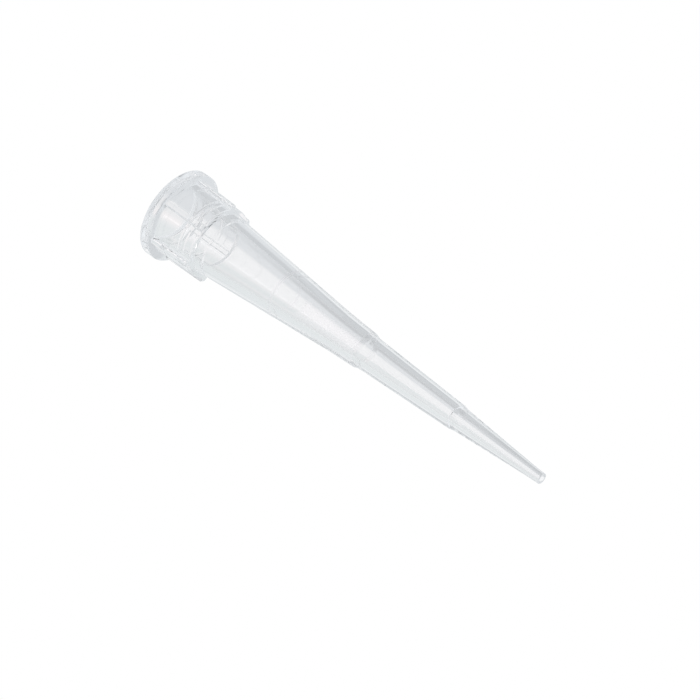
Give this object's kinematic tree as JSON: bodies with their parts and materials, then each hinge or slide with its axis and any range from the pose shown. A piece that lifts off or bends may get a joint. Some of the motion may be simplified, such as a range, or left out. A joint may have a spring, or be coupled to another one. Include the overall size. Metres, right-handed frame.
{
  "type": "pipette tip",
  "caption": "Clear moulded laboratory pipette tip: a rimmed, ribbed collar, a long taper with two stepped fill marks, and a fine bore from mouth to orifice.",
  "frame": {"origin": "centre of the mouth face, on the tip's axis, at the lowest point of the standing tip", "axes": "+Z along the axis from the mouth to the orifice; one guide rib faces the front, -Y"},
  "size_m": [0.0062, 0.0062, 0.0315],
  "materials": {
    "clear_plastic": "clear polypropylene, polished outside, with one matt band on the bore's wall"
  },
  "bodies": {
    "root": {"pipette_tip": "clear_plastic"}
  },
  "joints": []
}
